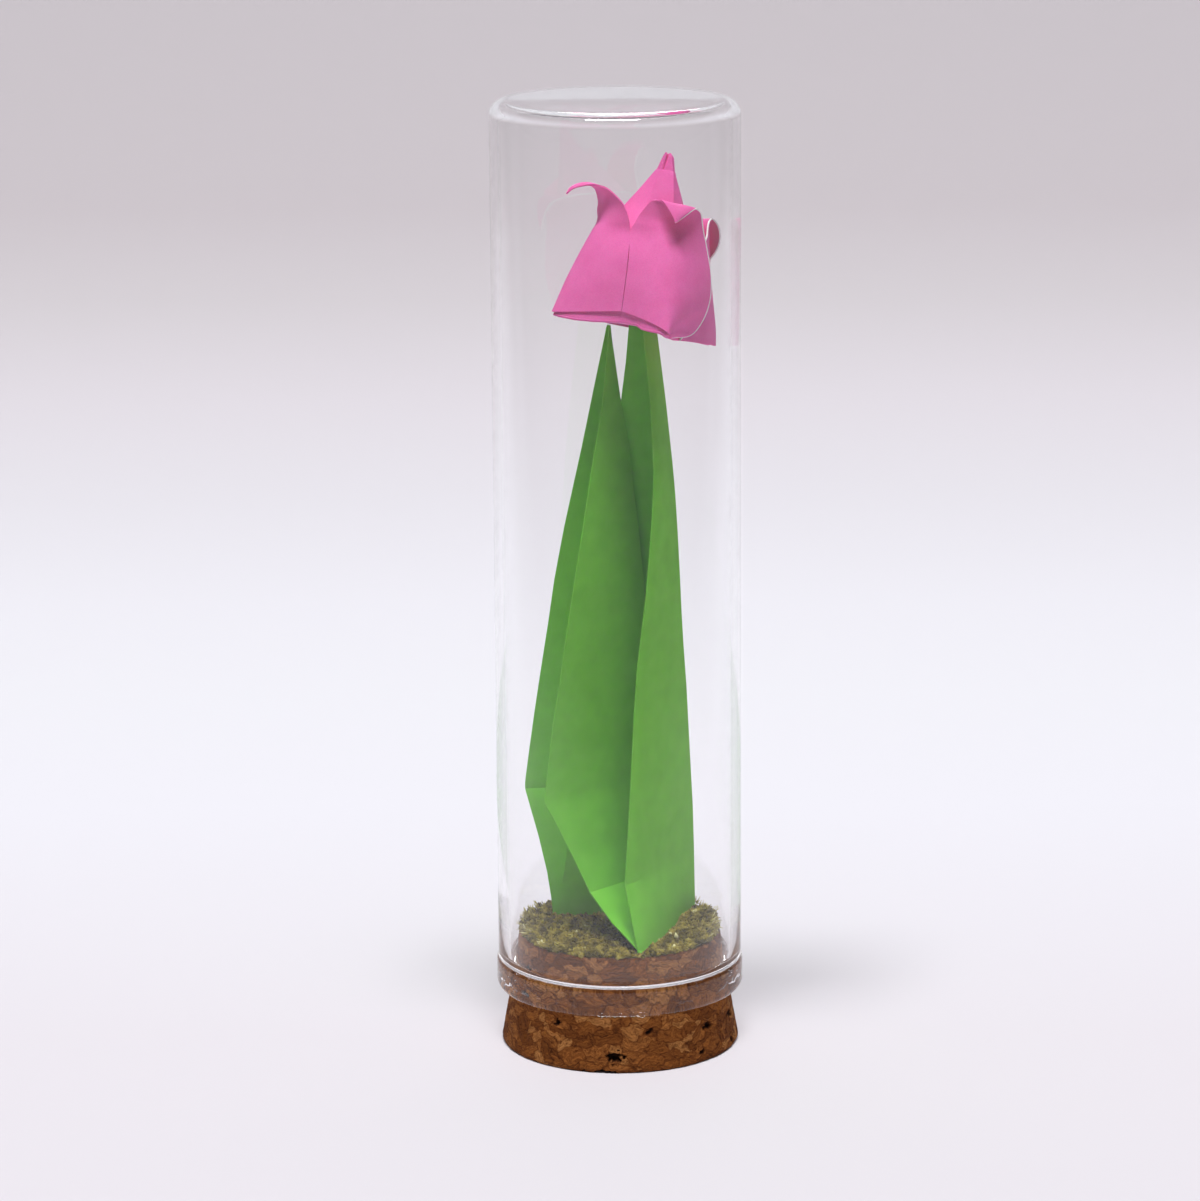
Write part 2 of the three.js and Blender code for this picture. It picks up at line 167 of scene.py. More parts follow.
def arc(x, y, radius, start, end, steps):
    """Points on a circle about (x, y), from the start angle to the end angle in degrees."""
    turns = [math.radians(start + (end - start) * i / steps) for i in range(steps + 1)]
    return [(x + radius * math.cos(t), y + radius * math.sin(t)) for t in turns]


# Materials. The scales of their patterns are per metre, and their depths are in metres.

FIBRE_SCALE = 5200
CLOUD_SCALE = 420
FIBRE_SHARE = 0.55
# Glass that has mirrored a ray this often inside its wall lets it pass straight on
MOST_REFLECTIONS = 1.5
GLASS_IOR = 1.5
GLASS_TINT = (0.998, 0.996, 0.997, 1)
GLASS_SHADE = (0.97, 0.975, 0.97, 1)
# Ramps of the cork: its granules, their grain, the cracks round them, the wandering cracks, and the painted
# shade that darkens the voids
GRANULE_TONES = [
    (0.1, (0.150, 0.046, 0.0095)), (0.38, (0.215, 0.070, 0.015)),
    (0.62, (0.255, 0.088, 0.021)), (0.85, (0.345, 0.145, 0.044)),
]
GRAIN_TONES = [(0.34, (0.42, 0.36, 0.32)), (0.5, (0.96, 0.95, 0.94)), (0.68, (1.55, 1.6, 1.6))]
RIM_TONES = [(0.0, (0.48, 0.42, 0.38)), (0.03, (0.68, 0.63, 0.6)), (0.08, (1, 1, 1))]
SWIRL_TONES = [
    (0.455, (1, 1, 1)), (0.485, (0.40, 0.34, 0.30)), (0.505, (1.05, 1.05, 1.05)),
    (0.60, (1, 1, 1)), (0.615, (0.55, 0.48, 0.44)), (0.63, (1.1, 1.1, 1.1)),
]
VOID_PAINTED_SHADE = [(0.0, (1, 1, 1)), (0.35, (0.35, 0.3, 0.28)), (0.8, (0.06, 0.05, 0.05))]
GRANULES_PER_METRE = 400
CORK_BEND = (0.0042, 0.0042, 0.0034)
MOSS_TONES = [
    (0.15, (0.040, 0.031, 0.004)), (0.42, (0.175, 0.135, 0.020)), (0.65, (0.315, 0.250, 0.040)),
    (0.85, (0.470, 0.390, 0.075)), (1.0, (0.75, 0.70, 0.40)),
]


def new_material(name):
    material = bpy.data.materials.new(name)
    material.use_nodes = True
    material.node_tree.nodes.clear()
    return material, material.node_tree


def feed(tree, socket, value):
    """Gives a socket a fixed value, or another node's output."""
    if isinstance(value, bpy.types.NodeSocket):
        tree.links.new(value, socket)
    else:
        socket.default_value = value


def add(tree, kind, **inputs):
    node = tree.nodes.new(kind)
    for key, value in inputs.items():
        feed(tree, node.inputs[key.replace("_", " ")], value)
    return node


def maths(tree, operation, *values, kind="ShaderNodeMath"):
    node = tree.nodes.new(kind)
    node.operation = operation
    for socket, value in zip(node.inputs, values):
        feed(tree, socket, value)
    return node.outputs[0]


def ramp(tree, factor, stops):
    """The colour that a factor picks between stops of (factor, colour)."""
    node = add(tree, "ShaderNodeValToRGB", Fac=factor)
    elements = node.color_ramp.elements
    while len(elements) < len(stops):
        elements.new(0.5)
    for element, (place, color) in zip(elements, stops):
        element.position = place
        element.color = (*color, 1)
    return node.outputs["Color"]


def mix_colors(tree, kind, share, first, second):
    mix = tree.nodes.new("ShaderNodeMix")
    mix.data_type = "RGBA"
    mix.blend_type = kind
    for name, value in (("Factor", share), ("A", first), ("B", second)):
        feed(tree, mix.inputs[name], value)
    return mix.outputs["Result"]


def object_place(tree):
    return add(tree, "ShaderNodeTexCoord").outputs["Object"]


def noise_node(tree, place, scale, detail, rough):
    return add(tree, "ShaderNodeTexNoise", Vector=place, Scale=scale, Detail=detail, Roughness=rough)


def cells_node(tree, place, feature):
    node = tree.nodes.new("ShaderNodeTexVoronoi")
    node.feature = feature
    feed(tree, node.inputs["Scale"], GRANULES_PER_METRE)
    feed(tree, node.inputs["Vector"], place)
    return node


def flattened(tree, place, times):
    """A place whose heights count several times, so that a pattern over it lies flat."""
    return add(tree, "ShaderNodeMapping", Vector=place, Scale=(1, 1, times)).outputs[0]


def roughen(tree, skin, height, strength, depth):
    bump = add(tree, "ShaderNodeBump", Height=height, Strength=strength, Distance=depth)
    feed(tree, skin.inputs["Normal"], bump.outputs["Normal"])


def show(tree, surface):
    add(tree, "ShaderNodeOutputMaterial", Surface=surface)


def paper_material(name, light, dark, through, spread, seed):
    """Dyed paper: fibres mottle the colour and roughen the surface; some light comes through."""
    material, tree = new_material(name)
    shift = add(tree, "ShaderNodeMapping", Vector=object_place(tree), Location=(seed, seed * 0.7, 0))
    fibres = noise_node(tree, shift.outputs["Vector"], FIBRE_SCALE, 5, 0.65).outputs["Fac"]
    cloud = noise_node(tree, shift.outputs["Vector"], CLOUD_SCALE, 3, 0.5).outputs["Fac"]
    even = maths(tree, "MULTIPLY", cloud, 1 - FIBRE_SHARE)
    mottle = maths(tree, "MULTIPLY_ADD", fibres, FIBRE_SHARE, even)
    skin = add(
        tree, "ShaderNodeBsdfPrincipled", Base_Color=ramp(tree, mottle, [(0.34, dark), (0.66, light)]),
        Roughness=0.75, IOR=1.4, Specular_IOR_Level=0.25,
        Subsurface_Weight=through, Subsurface_Radius=spread, Subsurface_Scale=0.0004)
    roughen(tree, skin, fibres, 0.12, 0.00003)
    show(tree, skin.outputs[0])
    return material


def edge_material():
    """The undyed core of the sheet, as its cut edges show it."""
    material, tree = new_material("paper_core")
    fibres = noise_node(tree, object_place(tree), 3000, 4, 0.6).outputs["Fac"]
    color = ramp(tree, fibres, [(0.3, (0.93, 0.86, 0.89)), (0.6, (0.97, 0.96, 0.96))])
    show(tree, add(tree, "ShaderNodeBsdfPrincipled", Base_Color=color, Roughness=0.8).outputs[0])
    return material


def glass_material():
    """Glass that is plainly clear to shadows, to scattered light and to rays trapped in its wall."""
    material, tree = new_material("clear_glass")
    surface = add(tree, "ShaderNodeBsdfPrincipled", Base_Color=GLASS_TINT, Roughness=0.0, IOR=GLASS_IOR,
                  Transmission_Weight=1).outputs[0]
    clear = add(tree, "ShaderNodeBsdfTransparent", Color=GLASS_SHADE).outputs[0]
    path = add(tree, "ShaderNodeLightPath").outputs
    trapped = maths(tree, "GREATER_THAN", path["Glossy Depth"], MOST_REFLECTIONS)
    for plain in (trapped, path["Is Diffuse Ray"], path["Is Shadow Ray"]):
        mix = tree.nodes.new("ShaderNodeMixShader")
        for socket, value in zip(mix.inputs, (plain, surface, clear)):
            feed(tree, socket, value)
        surface = mix.outputs[0]
    show(tree, surface)
    return material


def cork_material():
    """Pressed granules lying flat: soft streaky browns, thin wandering cracks, and voids darkened with
    painted shade.
    """
    material, tree = new_material("cork")
    place = object_place(tree)
    warp = noise_node(tree, place, 330, 3, 0.55).outputs["Color"]
    bent = maths(tree, "MULTIPLY_ADD", warp, CORK_BEND, place, kind="ShaderNodeVectorMath")
    cell_place, grain_place = flattened(tree, bent, 2.0), flattened(tree, bent, 3.2)
    cells = cells_node(tree, cell_place, "SMOOTH_F1")
    feed(tree, cells.inputs["Smoothness"], 0.35)
    granule = add(tree, "ShaderNodeSeparateColor", Color=cells.outputs["Color"]).outputs[0]
    rims = cells_node(tree, cell_place, "DISTANCE_TO_EDGE").outputs["Distance"]
    grain = noise_node(tree, grain_place, 1500, 6, 0.72).outputs["Fac"]
    swirl = noise_node(tree, grain_place, 420, 3, 0.55)
    feed(tree, swirl.inputs["Distortion"], 1.6)
    # The void attribute darkens the voids near to black: painted shade, deeper than their shallow hollows
    # cast
    void = tree.nodes.new("ShaderNodeAttribute")
    void.attribute_name = "void"
    color = ramp(tree, granule, GRANULE_TONES)
    for factor, stops in ((grain, GRAIN_TONES), (rims, RIM_TONES), (swirl.outputs["Fac"], SWIRL_TONES),
                          (void.outputs["Fac"], VOID_PAINTED_SHADE)):
        color = mix_colors(tree, "MULTIPLY", 1, color, ramp(tree, factor, stops))
    skin = add(tree, "ShaderNodeBsdfPrincipled", Base_Color=color, Roughness=0.85, Specular_IOR_Level=0.1)
    roughen(tree, skin, grain, 0.7, 0.00016)
    show(tree, skin.outputs[0])
    return material


def moss_material():
    """Dried moss: each crumb and frond has its own tone, and a fine noise varies it."""
    material, tree = new_material("dry_moss")
    tone = tree.nodes.new("ShaderNodeAttribute")
    tone.attribute_name = "tone"
    fine = noise_node(tree, object_place(tree), 2400, 4, 0.6).outputs["Fac"]
    varied = maths(tree, "MULTIPLY_ADD", fine, 0.35, tone.outputs["Fac"])
    skin = add(tree, "ShaderNodeBsdfPrincipled", Base_Color=ramp(tree, varied, MOSS_TONES), Roughness=0.9,
               Specular_IOR_Level=0.15)
    show(tree, skin.outputs[0])
    return material


PINK = paper_material("pink_paper", light=(0.97, 0.180, 0.52), dark=(0.87, 0.130, 0.43),
                      through=0.3, spread=(1.0, 0.10, 0.28), seed=0.0)
GREEN = paper_material("green_paper", light=(0.205, 0.63, 0.045), dark=(0.155, 0.52, 0.030),
                       through=0.25, spread=(0.2, 1.0, 0.1), seed=0.3)
CORE = edge_material()
GLASS = glass_material()
CORK = cork_material()
MOSS = moss_material()


# Glass tube, open end down

TUBE_RADIUS = 15.0
TUBE_TOP = 116.7
TUBE_MOUTH = 7.0
WALL = 1.2
SHOULDER = 1.8
INNER_SHOULDER = 0.7
END_THICKNESS = 0.8
LIP_BULGE = 0.2
LIP_BORE = 13.25
LIP_SHOULDER = 0.6
LIP_TOP = 10.35
TUBE_SIDES = 192
# The closed end, by radius and height above the top, and the rings of the straight wall, by height
CLOSED_END = [(0, 0), (6, 0), (11, -0.03)]
OUTER_RINGS = (100, 70, 40, 20, 13, 10.95)
INNER_RINGS = (20, 40, 70, 100)
# The bore's waist inside the lip, by radius and height, and where it opens into the straight bore
WAIST = [(13.23, 8.4), (13.12, 9.0), (13.0, 9.8), (13.02, 10.15), (13.2, 10.45), (13.5, 10.75)]
WAIST_TOP = [(-0.06, 11.2), (0, 11.8)]


def glass_tube():
    bore = TUBE_RADIUS - WALL
    lip_radius = (TUBE_RADIUS + LIP_BULGE - LIP_BORE) / 2
    ceiling = TUBE_TOP - END_THICKNESS
    outside = [(radius, TUBE_TOP + rise) for radius, rise in CLOSED_END]
    outside += arc(TUBE_RADIUS - SHOULDER, TUBE_TOP - SHOULDER, SHOULDER, 88, 0, 14)
    outside += [(TUBE_RADIUS, z) for z in OUTER_RINGS]
    outside += arc(TUBE_RADIUS + LIP_BULGE - LIP_SHOULDER, LIP_TOP, LIP_SHOULDER, 46, 0, 8)
    mouth = arc(LIP_BORE + lip_radius, TUBE_MOUTH + lip_radius, lip_radius, 0, -180, 20)
    inside = WAIST + [(bore + step, z) for step, z in WAIST_TOP] + [(bore, z) for z in INNER_RINGS]
    inside += arc(bore - INNER_SHOULDER, ceiling - INNER_SHOULDER, INNER_SHOULDER, 0, 90, 8)
    inside += [(0, ceiling)]
    return lathe("glass_tube_clear", (outside + mouth + inside)[::-1], TUBE_SIDES, [GLASS])


tube = glass_tube()
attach(tube, "root")
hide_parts("glass_tube")


# Cork: the turned stopper with granules that stand proud and voids between them

CORK_PROFILE = [
    (14.25, 0.0), (14.52, 0.12), (14.65, 0.4), (13.33, 7.8), (12.6, 13.6), (12.5, 13.88), (12.2, 14.0),
]
CORK_SIDES = 400
CORK_ROWS = 100
# The voids that show in the photo: turn in degrees, height, reach along and up, depth
CORK_VOIDS = [(-93, 2.0, 0.75, 0.5, 0.7), (-40, 4.2, 0.45, 0.4, 0.6), (-46, 1.2, 0.5, 0.25, 0.4),
              (-124, 5.6, 0.3, 0.3, 0.4), (-98, 0.1, 1.6, 0.2, 0.5), (-75, 4.9, 0.35, 0.2, 0.3)]
UNSEEN_VOIDS = 26
# A void reaches as far as its ragged edge, and deepens inward from there
VOID_EDGE = 1.2
VOID_SLOPE = 2.2
VOID_RAGGEDNESS = 0.9
GRANULE_FLATNESS = 1.9
GRANULE_SCALE = 0.42
SEAM_DEPTH = 0.09
SEAM_SHARPNESS = 16
DENT_DEPTH = 0.05
WARP_SCALE = 0.4
WARP_REACH = 1.3


# Unseeded, noise_vector would differ from run to run
noise.seed_set(4)


def cork_voids():
    draw = random.Random(4)
    voids = list(CORK_VOIDS)
    for _ in range(UNSEEN_VOIDS):
        voids.append((draw.uniform(0, 250) - 20, draw.uniform(0.3, 13), draw.uniform(0.2, 0.7),
                      draw.uniform(0.15, 0.45), draw.uniform(0.25, 0.6)))
    return voids


def even_profile(profile, steps):
    """Points at even steps along a profile."""
    lengths = [0.0]
    for (r1, z1), (r2, z2) in zip(profile, profile[1:]):
        lengths.append(lengths[-1] + math.hypot(r2 - r1, z2 - z1))
    points = []
    for i in range(steps + 1):
        s = lengths[-1] * i / steps
        k = max(n for n in range(len(lengths) - 1) if lengths[n] <= s)
        t = (s - lengths[k]) / (lengths[k + 1] - lengths[k])
        (r1, z1), (r2, z2) = profile[k], profile[k + 1]
        points.append((r1 + (r2 - r1) * t, z1 + (z2 - z1) * t))
    return points


def cork_depth(point, turn, radius, height, voids):
    """How deep the cork lies under its turned surface, and how far inside a void, from 0 to 1; the second
    share darkens the colour there as painted shade.
    """
    lying = point + noise.noise_vector(point * WARP_SCALE) * WARP_REACH
    lying.z *= GRANULE_FLATNESS
    near, second = noise.voronoi(lying * GRANULE_SCALE)[0][:2]
    depth = SEAM_DEPTH * math.exp((near - second) * SEAM_SHARPNESS)
    depth += DENT_DEPTH * max(0.0, noise.noise(lying * 1.3))
    ragged = 1 + VOID_RAGGEDNESS * noise.noise(point * 2.6)
    void_shade = 0.0
    for at, level, along, up, deep in voids:
        away = math.radians((turn - at + 180) % 360 - 180) * radius / along
        over = (height - level) / up
        far = math.sqrt(away * away + over * over) * ragged
        if far < VOID_EDGE:
            share = min(1.0, (VOID_EDGE - far) * VOID_SLOPE)
            void_shade = max(void_shade, share)
            depth = max(depth, deep * share)
    return depth, void_shade


def cork_surface():
    voids = cork_voids()
    points, faces, dark = [], [], []
    for radius, height in even_profile(CORK_PROFILE, CORK_ROWS):
        for i in range(CORK_SIDES):
            turn = 360 * i / CORK_SIDES
            angle = math.radians(turn)
            point = Vector((radius * math.cos(angle), radius * math.sin(angle), height))
            depth, void_shade = cork_depth(point, turn, radius, height, voids)
            share = 1 - depth / radius
            points.append((point.x * share, point.y * share, height))
            dark.append(void_shade)
    around = [(i, (i + 1) % CORK_SIDES) for i in range(CORK_SIDES)]
    for row in range(CORK_ROWS):
        low, high = row * CORK_SIDES, (row + 1) * CORK_SIDES
        faces += [(low + i, low + j, high + j, high + i) for i, j in around]
    for row, end in ((0, CORK_PROFILE[0]), (CORK_ROWS, CORK_PROFILE[-1])):
        hub, ring = len(points), row * CORK_SIDES
        points.append((0, 0, end[1]))
        dark.append(0.0)
        faces += [(hub, ring + i, ring + j) if row else (hub, ring + j, ring + i) for i, j in around]
    piece = build_mesh("cork_granules", points, faces, [CORK], crease_deg=50)
    # The void values carry the painted shade of the voids to the cork's material
    add_values(piece, "void", dark)
    return piece


cork = cork_surface()
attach(cork, "root")
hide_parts("cork_base")


# Stem and leaf: one green sheet as two V strips. A station gives the height, then x and y of the
# spine, of the front edge and of the back edge.

GREEN_SHEET = 0.13
STRIP_STEP = 0.8
STRIP_COLUMNS = 16
STRIP_BOW = 0.15
CURL_REACH = 1.6
# The leaf's back panel is pinched towards its edge, along a short slanting line
GROOVE_START = 0.55
GROOVE_DEPTH = 0.3
GROOVE_SLANT = 1.6
GROOVE_WIDTH = 0.4
STEM_STATIONS = [
    (14.25, 9.72, 7.20, 2.50, -11.19, -7.90, 3.40), (18, 9.63, 6.89, 1.77, -9.70, -7.32, 3.44),
    (22, 9.55, 6.55, 0.98, -8.10, -6.70, 3.49), (28, 9.37, 6.05, 1.37, -7.12, -5.77, 3.56),
    (35.5, 8.95, 5.39, 1.79, -6.37, -4.74, 3.49), (43.7, 8.52, 4.64, 2.23, -5.78, -3.71, 3.28),
    (49.1, 8.13, 4.14, 2.65, -5.60, -2.99, 3.10), (53.3, 7.88, 3.75, 3.19, -5.46, -2.43, 2.96),
    (57.8, 7.68, 3.34, 3.74, -5.21, -1.81, 2.75), (64.3, 7.34, 2.72, 4.29, -4.76, -0.91, 2.40),
    (68.3, 7.09, 2.33, 4.57, -4.48, -0.37, 2.17), (72.2, 6.75, 1.87, 4.72, -4.22, -0.01, 1.78),
    (80.1, 5.92, 0.88, 4.37, -3.69, 0.54, 0.98), (85, 5.33, 0.25, 3.93, -3.35, 1.16, 0.50),
    (89.7, 4.75, -0.28, 3.51, -3.02, 1.57, 0.03), (94, 4.21, -0.64, 3.20, -2.50, 2.00, -0.30),
]
LEAF_STATIONS = [
    (14.25, 8.25, 6.50, 2.50, -11.18, -8.37, 2.94), (15.5, 8.16, 6.43, 1.08, -9.82, -8.37, 2.94),
    (17.2, 7.45, 6.03, -0.90, -7.95, -8.57, 3.03), (20.4, 6.12, 5.27, -3.55, -5.73, -9.07, 3.25),
    (25, 5.52, 4.84, -5.66, -5.33, -10.14, 3.46), (29.6, 5.03, 4.47, -7.77, -5.60, -11.45, 3.62),
    (30.95, 4.89, 4.37, -8.46, -5.73, -11.86, 3.67), (31.8, 4.79, 4.29, -8.92, -5.74, -11.85, 3.68),
    (36, 4.55, 3.96, -8.44, -5.20, -11.23, 3.48), (41, 4.28, 3.58, -7.89, -5.13, -10.46, 3.24),
    (46, 4.00, 3.20, -7.07, -5.05, -9.65, 2.99), (52, 3.60, 2.65, -6.24, -4.95, -8.65, 2.60),
    (58, 3.20, 2.10, -5.30, -4.74, -7.74, 2.19), (64.5, 2.58, 1.57, -4.28, -4.15, -6.48, 1.67),
    (69.5, 1.99, 1.17, -3.49, -3.65, -5.37, 1.27), (74.5, 1.53, 0.76, -2.71, -3.11, -4.25, 0.86),
    (80, 0.57, 0.32, -1.72, -2.25, -3.11, 0.42), (84.5, -0.05, -0.04, -1.29, -1.69, -2.17, 0.06),
    (88.6, -0.62, -0.40, -0.90, -1.19, -1.29, -0.30), (89.3, -0.72, -0.50, -0.86, -1.05, -1.16, -0.40),
    (89.75, -0.84, -0.66, -0.90, -0.90, -1.02, -0.58),
]


def station_at(stations, height):
    for low, high in zip(stations, stations[1:]):
        if height <= high[0]:
            break
    t = (height - low[0]) / (high[0] - low[0])
    return [a + (b - a) * t for a, b in zip(low, high)]


def panel(first, last, curl):
    """Points across one panel, bowed out of its plane and curled back near its first edge."""
    out = np.array([last[1] - first[1], first[0] - last[0], 0])
    out = out / max(np.linalg.norm(out), TINY)
    width = np.linalg.norm(last - first)
    points = []
    for c in range(STRIP_COLUMNS + 1):
        t = c / STRIP_COLUMNS
        back = curl * max(0.0, 1 - t * width / CURL_REACH) ** 2
        points.append(first + (last - first) * t + out * (STRIP_BOW * 4 * t * (1 - t) - back))
    return points


def strip_heights(stations):
    heights = []
    for low, high in zip(stations, stations[1:]):
        steps = max(1, round((high[0] - low[0]) / STRIP_STEP))
        heights += [low[0] + (high[0] - low[0]) * i / steps for i in range(steps)]
    return heights + [stations[-1][0]]


def pinch(points, above):
    """Presses a row of points in towards its last edge, by how far it lies above the groove."""
    for c, point in enumerate(points):
        share = c / STRIP_COLUMNS
        near_edge = max(0.0, (share - GROOVE_START) / (1 - GROOVE_START))
        over = (above + GROOVE_SLANT * (1 - share)) / GROOVE_WIDTH
        point[1] += GROOVE_DEPTH * near_edge * math.exp(-over ** 2)


def folded_strip(name, stations, curl, fold, groove=None):
    """A V strip: its columns run from the front edge over the fold at the spine to the back edge."""
    grid = []
    for height in strip_heights(stations):
        z, sx, sy, fx, fy, bx, by = station_at(stations, height)
        front, spine, back = np.array([fx, fy, z]), np.array([sx, sy, z]), np.array([bx, by, z])
        before = spine + (front - spine) / np.linalg.norm(front - spine) * fold
        behind = panel(spine, back, 0)
        if groove:
            pinch(behind, z - groove)
        grid.append(panel(front, before, curl) + behind)
    return paper_sheet(name, np.array(grid), GREEN_SHEET, [GREEN, CORE], raw=("last",), crease_deg=16)


stem = folded_strip("stem_fold", STEM_STATIONS, curl=0.35, fold=0.45)
leaf = folded_strip("leaf_fold", LEAF_STATIONS, curl=0.0, fold=0.05, groove=31.3)
for piece in (stem, leaf):
    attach(piece, "root")
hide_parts("paper_stem_leaf")


# Bloom: everything in its own leaning frame, with corners R, B, L, F a quarter turn apart

BLOOM_CENTRE = np.array([2.3, -1.7, 89.2])
BLOOM_TURN = math.radians(20.2)
PINK_SHEET = 0.18
# The white band beside a cut edge, and the most that it takes of a face's width
CUT_BAND = 0.18
WIDEST_BAND = 0.4
UP = unit(np.array([0.172, 0.217, 1.0]))
LEVEL = np.array([math.cos(BLOOM_TURN), math.sin(BLOOM_TURN), 0])
RIGHT = unit(LEVEL - UP * LEVEL.dot(UP))
FAR = np.cross(UP, RIGHT)


def corner_point(quarter, point):
    """A point (outward, sideways, height) at a corner: quarter 0 is R, 1 B, 2 L and 3 F."""
    turn = quarter * math.pi / 2
    outward = RIGHT * math.cos(turn) + FAR * math.sin(turn)
    sideways = -RIGHT * math.sin(turn) + FAR * math.cos(turn)
    return BLOOM_CENTRE + outward * point[0] + sideways * point[1] + UP * point[2]


# Rows of a corner sheet from its bottom edge to the petal's tip: left edge, ridge, right edge, and the
# power that bulges the faces between them. Another power for their height follows where it differs.
L_ROWS = [
    ((5.3, -5.3, 1.7), (10.6, 0, 0.55), (4.37, 6.16, 1.75), 1.12),
    ((5.9, -5.9, 5.2), (9.6, 0, 4.1), (4.47, 6.11, 5.4), 1.25),
    ((5.3, -5.3, 8.3), (8.4, 0, 7.7), (4.42, 5.57, 8.4), 1.35),
    ((4.14, -4.14, 11.1), (7.25, 0, 10.8), (4.14, 4.14, 11.1), 1.6),
    ((5.2, -3.9, 12.3), (6.65, 0, 12.1), (4.5, 4.0, 12.61), 1.7),
    ((6.15, -2.8, 13.4), (6.55, 0, 13.6), (5.07, 3.75, 13.9), 1.5),
    ((6.4, -2.4, 14.6), (6.7, 0.2, 14.8), (5.66, 3.4, 14.73), 1.5),
    ((7.1, -2.0, 15.87), (7.4, 0.2, 15.85), (7.04, 2.5, 15.86), 1.6),
    ((7.79, -1.6, 16.21), (8.2, 0.1, 16.3), (8.13, 1.8, 16.17), 2),
    ((9.03, -1.1, 16.35), (9.2, 0.1, 16.35), (9.22, 1.3, 16.03), 2),
    ((10.19, -0.6, 15.95), (10.2, 0.1, 15.95), (10.05, 0.9, 15.73), 2),
    ((11.0, -0.2, 15.34), (10.95, 0.1, 15.4), (10.74, 0.5, 15.33), 2),
    ((11.33, -0.06, 14.62), (11.33, 0, 14.62), (11.33, 0.06, 14.62), 2),
]
F_ROWS = [
    ((6.22, -4.31, 1.75), (10.5, 0, 0.0), (8.3, 1.2, -0.45), 1.12, 0.65),
    ((6.22, -4.35, 3.0), (10.1, 0, 1.6), (6.4, 4.4, 0.52), 1.2, 0.9),
    ((6.17, -4.40, 5.4), (9.5, 0, 4.1), (5.7, 6.3, 3.98), 1.3),
    ((5.63, -4.34, 8.4), (8.4, 0, 7.7), (5.55, 6.2, 7.4), 1.4),
    ((4.14, -4.14, 11.1), (7.15, 0, 10.8), (5.19, 5.19, 11.06), 1.6),
    ((4.35, -3.8, 12.4), (6.6, 0.1, 12.2), (5.5, 4.52, 12.4), 1.9),
    ((4.6, -3.47, 13.45), (6.5, 0.2, 13.4), (5.9, 3.95, 13.64), 2),
    ((5.6, -2.82, 15.03), (7.1, 0.1, 14.75), (6.4, 3.4, 14.65), 2),
    ((6.4, -2.4, 15.37), (7.6, -0.15, 15.2), (7.1, 2.67, 15.05), 2),
    ((7.4, -1.85, 15.18), (8.3, -0.2, 15.0), (7.8, 1.93, 14.95), 2),
    ((8.7, -1.06, 13.77), (8.85, -0.15, 14.1), (8.5, 0.81, 14.18), 2),
    ((9.0, -0.7, 12.93), (9.0, -0.63, 12.93), (9.0, -0.56, 12.93), 2),
]
R_ROWS = [
    ((3.1, -6.6, -0.5), (10.5, 0, -0.1), (5.3, 5.3, 1.7), 1.15),
    ((5.0, -5.95, 2.5), (10.1, 0, 2.0), (5.7, 5.7, 3.4), 1.15),
    ((5.8, -5.5, 5.4), (9.4, 0, 4.2), (5.9, 5.9, 5.2), 1.2),
    ((5.5, -5.35, 8.3), (8.3, 0, 7.7), (5.3, 5.3, 8.3), 1.3),
    ((4.9, -5.0, 11.0), (7.4, 0, 10.8), (4.14, 4.14, 11.1), 1.7),
    ((5.22, -4.7, 12.32), (6.9, 0, 12.3), (4.6, 4.2, 12.6), 1.9),
    ((5.41, -4.2, 13.93), (6.6, 0, 13.6), (5.3, 3.8, 14.0), 2),
    ((6.14, -3.5, 14.61), (7.0, 0, 14.75), (6.2, 3.3, 14.7), 2),
    ((7.44, -2.8, 13.9), (8.0, 0, 14.05), (7.4, 2.8, 13.9), 2),
    ((8.12, -2.3, 12.64), (8.6, 0, 12.7), (8.1, 2.3, 12.6), 2),
    ((8.25, -1.6, 11.27), (8.5, 0, 11.3), (8.2, 1.6, 11.2), 2),
    ((7.75, -0.56, 9.67), (7.75, -0.5, 9.67), (7.75, -0.44, 9.67), 2),
]
B_ROWS = [
    ((5.3, -5.3, 1.7), (10.3, 0, 1.3), (5.3, 5.3, 1.7), 1.15),
    ((5.9, -5.9, 5.2), (9.55, 0, 4.1), (5.9, 5.9, 5.2), 1.25),
    ((5.3, -5.3, 8.3), (8.4, 0, 7.7), (5.3, 5.3, 8.3), 1.35),
    ((4.14, -4.14, 11.1), (7.4, 0, 10.8), (4.14, 4.14, 11.1), 1.6),
    ((4.4, -4.0, 12.4), (7.0, 0, 12.2), (4.4, 4.0, 12.4), 1.9),
    ((5.0, -3.6, 13.4), (6.8, 0, 13.5), (5.0, 3.6, 13.4), 2),
    ((6.3, -2.6, 14.1), (7.2, 0, 14.3), (6.3, 2.6, 14.1), 2),
    ((7.6, -2.0, 13.7), (7.9, -0.1, 13.8), (7.6, 1.7, 13.7), 2),
    ((8.2, -1.5, 12.4), (8.3, -0.4, 12.5), (8.2, 0.7, 12.4), 2),
    ((8.3, -1.26, 10.5), (8.3, -1.2, 10.5), (8.3, -1.14, 10.5), 2),
]
SHEET_STEPS = 7
SHEET_COLUMNS = 22
RIDGE_ROUND = 0.1


def sheet_row(rows, position):
    """Left edge, ridge, right edge, and the powers that shape the bulge and the height between them."""
    left, ridge, right = (
        hermite([np.array(row[side], float) for row in rows], position) for side in range(3))
    bulge, lift = straight([np.array([row[3], row[-1]], float) for row in rows], position)
    return left, ridge, right, bulge, lift


def row_point(row, share):
    """A point (outward, sideways, height) of a corner sheet; share runs from -1 at its left edge to 1."""
    left, ridge, right, bulge, lift = row
    soft = (math.hypot(share, RIDGE_ROUND) - RIDGE_ROUND) / (math.hypot(1, RIDGE_ROUND) - RIDGE_ROUND)
    end = left if share < 0 else right
    ways = np.array([soft ** bulge, abs(share), soft ** lift])
    return ridge + (end - ridge) * ways


# The front corner's right face turns out below a crease, given by sideways place and height
CREASE_SIDEWAYS = (0, 3.04, 6.14)
CREASE_HEIGHT = (0, 2.57, 4.21)
FLARE = 0.28


